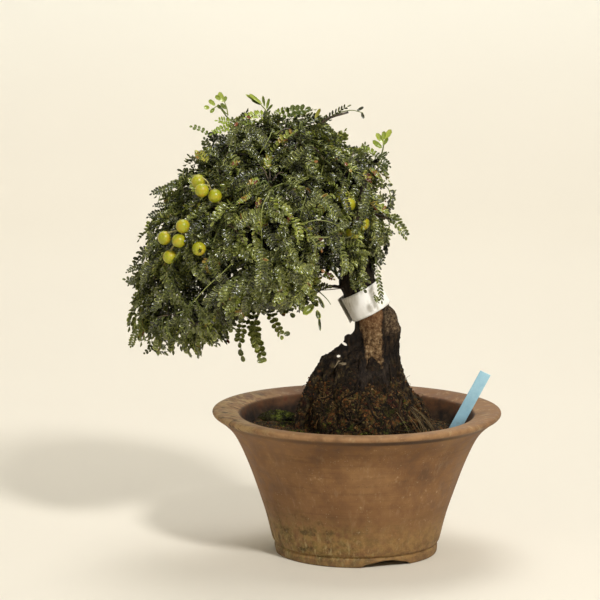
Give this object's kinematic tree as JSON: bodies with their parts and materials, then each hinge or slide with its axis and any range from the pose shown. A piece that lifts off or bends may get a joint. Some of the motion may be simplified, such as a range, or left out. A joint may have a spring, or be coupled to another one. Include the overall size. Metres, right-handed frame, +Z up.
{
  "type": "osteomeles bonsai",
  "caption": "Leaning small-leaved bonsai with feathery pinnate fronds and yellow-green fruit, rooted over a soil mound in a round unglazed pot with a flared lip and foot ring.",
  "frame": {"origin": "on the surface that the pot stands on, under the middle of the whole object's width and depth", "axes": "+Z up along the pot's axis, the front view looks along +Y, and the crown leans towards -X"},
  "size_m": [0.2901, 0.221, 0.3569],
  "materials": {
    "pot_clay": "matte",
    "net": "matte",
    "wire": "satin",
    "grit": "matte",
    "soil": "matte",
    "moss": "matte",
    "bark": "matte",
    "band_paper": "matte",
    "label_plastic": "satin",
    "stalk": "matte",
    "berry": "satin",
    "leaf": "satin",
    "young_leaf": "satin"
  },
  "bodies": {
    "root": {"pot": "pot_clay", "drain_net": "net", "drain_wire": "wire", "drainage_grit": "grit", "soil": "soil", "moss_cushion": "moss", "tree_wood": "bark", "trunk_band": "band_paper", "plant_label": "label_plastic", "fruit_stalk_upper_left": "stalk", "fruit_stalk_lower_left": "stalk", "fruit_stalk_right": "stalk", "berry_01": "berry", "berry_02": "berry", "berry_03": "berry", "berry_04": "berry", "berry_05": "berry", "berry_06": "berry", "berry_07": "berry", "berry_08": "berry", "berry_09": "berry", "berry_10": "berry", "berry_11": "berry", "berry_12": "berry", "berry_13": "berry", "new_tip_left": "young_leaf", "new_tip_middle": "young_leaf", "new_tip_right": "young_leaf", "arching_shoot_top": "leaf", "arching_shoot_right": "leaf", "low_spray": "leaf", "drooping_shoot_left": "leaf", "drooping_shoot_low": "leaf", "shoot_01": "leaf", "shoot_02": "leaf", "shoot_03": "leaf", "shoot_04": "leaf", "shoot_05": "leaf", "shoot_06": "leaf", "shoot_07": "leaf", "shoot_08": "leaf", "shoot_09": "leaf", "shoot_10": "leaf", "shoot_11": "leaf", "shoot_12": "leaf", "shoot_13": "leaf", "shoot_14": "leaf", "shoot_15": "leaf", "shoot_16": "leaf", "shoot_17": "leaf", "shoot_18": "leaf", "shoot_19": "leaf", "shoot_20": "leaf", "shoot_21": "leaf", "shoot_22": "leaf", "shoot_23": "leaf", "shoot_24": "leaf", "shoot_25": "leaf", "shoot_26": "leaf", "shoot_27": "leaf"}
  },
  "joints": []
}
